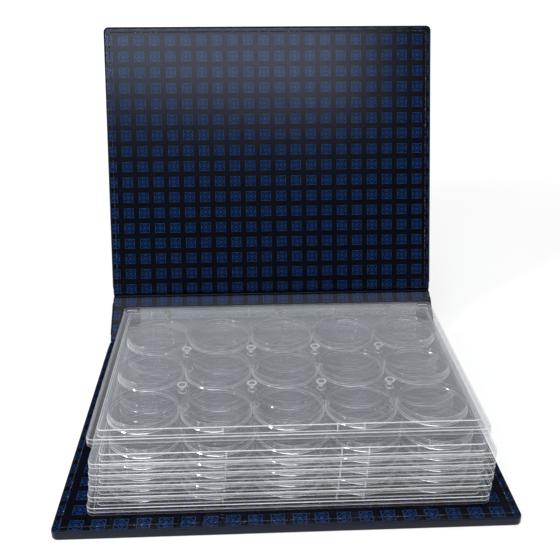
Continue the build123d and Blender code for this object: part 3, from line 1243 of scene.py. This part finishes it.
class ALBUM_OT_hinges(bpy.types.Operator):
    """Builds the soft films that link the pages."""
    bl_idname = "album.hinges"
    bl_label = "Page hinges"

    def execute(self, context):
        sizes = context.scene.album_pages
        grip = 10 * MM
        flat_steps = 24
        for number in range(1, page_count + 1):
            name = f"page_{number}_film"
            page = Page(sizes, number)
            low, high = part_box(f"page_{number}_hinge")
            edge = page.place.y + page.back
            if number == page_count:
                step = (high.y - low.y) / flat_steps
                points = [(low.y + step * i, high.z) for i in range(flat_steps + 1)]
                start = (0, edge + 4 * MM, high.z)
                end = (0, edge - 1 * MM, high.z)
            else:
                below = Page(sizes, number + 1)
                radius = (high.z - low.z) / 2
                turn_y = high.y - radius
                points = film_route(low, high, below.place.y + below.back - grip, edge - grip)
                start = (0, turn_y, low.z + radius * 0.4)
                end = (0, turn_y, high.z)
            bm = hinge_ribbon(points, (high.x - low.x) / 2)
            bmesh.ops.translate(bm, vec=((low.x + high.x) / 2, 0, 0), verts=bm.verts)
            piece = new_piece(name, as_mesh(bm, name), [material("page_film")], None,
                              [f"page_{number}_hinge"])
            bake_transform(piece)
        return {"FINISHED"}


class ALBUM_OT_binding(bpy.types.Operator):
    """Finishes the strip that holds the lowest hinge."""
    bl_idname = "album.binding"
    bl_label = "Binding strip"

    def execute(self, context):
        refinish("binding_base", "album_strip")
        refinish("binding_clamp", "album_strip")
        refinish("binding_screws", "album_screw")
        return {"FINISHED"}


# Stage. Lamps have a name, a place, a width and height, a power in watts and a colour.
lamps = [
    ("front_left_softbox", (-0.28, -1.26, 1.12), 1.3, 0.34, 10, (0.92, 0.96, 1.0)),
    ("left_lamp", (-1.12, -0.66, 0.80), 0.2, 0.28, 13, (1, 1, 1)),
    ("overhead_softbox", (0.15, 0.1, 1.9), 2.4, 2.4, 37, (1, 1, 1)),
]
lamp_target = Vector((0.0, 0.05, 0.05))
camera_place = (-0.0212, -0.45185, 0.3154)
camera_turn = (pi / 2 - 0.427, 0.0, -0.046)


def soft_lamp(name, place, width, height, power, tone):
    """A rectangular studio lamp that points at the album."""
    lamp = bpy.data.lights.new(name, "AREA")
    lamp.shape = "RECTANGLE"
    lamp.size = width
    lamp.size_y = height
    lamp.energy = power
    lamp.color = tone
    item = add_object(name, lamp)
    item.location = place
    item.rotation_euler = (lamp_target - Vector(place)).to_track_quat("-Z", "Y").to_euler()


def pale_floor(tone):
    """A pale floor that runs on to the horizon. It keeps the album's shadow near the album."""
    bm = bmesh.new()
    bmesh.ops.create_grid(bm, x_segments=8, y_segments=8, size=14.0)
    bmesh.ops.translate(bm, vec=(0, 4.0, -0.05 * MM), verts=bm.verts)
    floor = add_object("floor", as_mesh(bm, "floor"))
    paper, base = new_material("floor_paper")
    rays = base.node("ShaderNodeLightPath", output="Is Camera Ray")
    for kind in ("Is Glossy Ray", "Is Transmission Ray"):
        rays = rays.upto(base.node("ShaderNodeLightPath", output=kind))
    away = base.node("ShaderNodeVectorMath", {"operation": "LENGTH"}, {0: on_object(base)},
                     output="Value")
    matt = base.node("ShaderNodeBsdfDiffuse", None, {"Color": (*tone, 1)})
    white = base.node("ShaderNodeEmission", None, {"Color": (1, 1, 1, 1), "Strength": 1.18})
    share_lit = rays * (0.5 + away.fade(0.4, 1.4) * 0.5)
    surface = base.node("ShaderNodeMixShader", None, {0: share_lit, 1: matt, 2: white})
    finish_material(paper, surface)
    floor.data.materials.append(paper)


def studio_world():
    """A dim room with a white sweep at the horizon, which gives the dark covers their gloss."""
    world = bpy.data.worlds.new("studio")
    world.use_nodes = True
    sky = Wire(world.node_tree)
    dim = 0.07
    direction = sky.node("ShaderNodeTexCoord", output="Generated")
    height = sky.node("ShaderNodeSeparateXYZ", None, {0: direction}, output="Z")
    sweep = dim + (1 - height.fade(0.07, 0.17)) * (1 - dim)
    background = world.node_tree.nodes["Background"]
    background.inputs["Color"].default_value = (0.97, 0.98, 1.0, 1)
    world.node_tree.links.new(sweep.socket, background.inputs["Strength"])
    bpy.context.scene.world = world


class ALBUM_OT_stage(bpy.types.Operator):
    """Sets up the pale floor, the soft lamps and the camera."""
    bl_idname = "album.stage"
    bl_label = "Stage"

    def execute(self, context):
        stage = context.scene.album_stage
        scene = context.scene
        scene.view_settings.view_transform = "Standard"
        scene.cycles.transparent_max_bounces = 64
        scene.cycles.max_bounces = 10
        pale_floor(stage.floor)
        studio_world()
        for row in lamps:
            soft_lamp(*row)
        camera_data = bpy.data.cameras.new("camera")
        camera_data.sensor_width = 36.0
        camera_data.lens = stage.lens
        camera_data.clip_start = 0.01
        camera = add_object("camera", camera_data)
        camera.location = camera_place
        camera.rotation_euler = camera_turn
        scene.camera = camera
        return {"FINISHED"}


class ALBUM_PT_panel(bpy.types.Panel):
    """Lists the album's operators."""
    bl_label = "Coin album"
    bl_idname = "ALBUM_PT_panel"
    bl_space_type = "VIEW_3D"
    bl_region_type = "UI"
    bl_category = "Album"

    def draw(self, context):
        for operator in operators:
            self.layout.operator(operator.bl_idname)


operators = (
    ALBUM_OT_stage,
    ALBUM_OT_finishes,
    ALBUM_OT_covers,
    ALBUM_OT_folds,
    ALBUM_OT_pages,
    ALBUM_OT_hinges,
    ALBUM_OT_binding,
)
groups = {"album_covers": AlbumCovers, "album_pages": AlbumPages, "album_stage": AlbumStage}


def register():
    """Adds the properties, the operators and the panel."""
    for item in (*groups.values(), *operators, ALBUM_PT_panel):
        bpy.utils.register_class(item)
    for name, group in groups.items():
        setattr(bpy.types.Scene, name, bpy.props.PointerProperty(type=group))


def unregister():
    """Takes them away again."""
    for name in groups:
        delattr(bpy.types.Scene, name)
    for item in reversed((*groups.values(), *operators, ALBUM_PT_panel)):
        bpy.utils.unregister_class(item)


def main():
    register()
    for operator in operators:
        family, name = operator.bl_idname.split(".")
        getattr(getattr(bpy.ops, family), name)()
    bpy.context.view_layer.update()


if __name__ == "__main__":
    main()
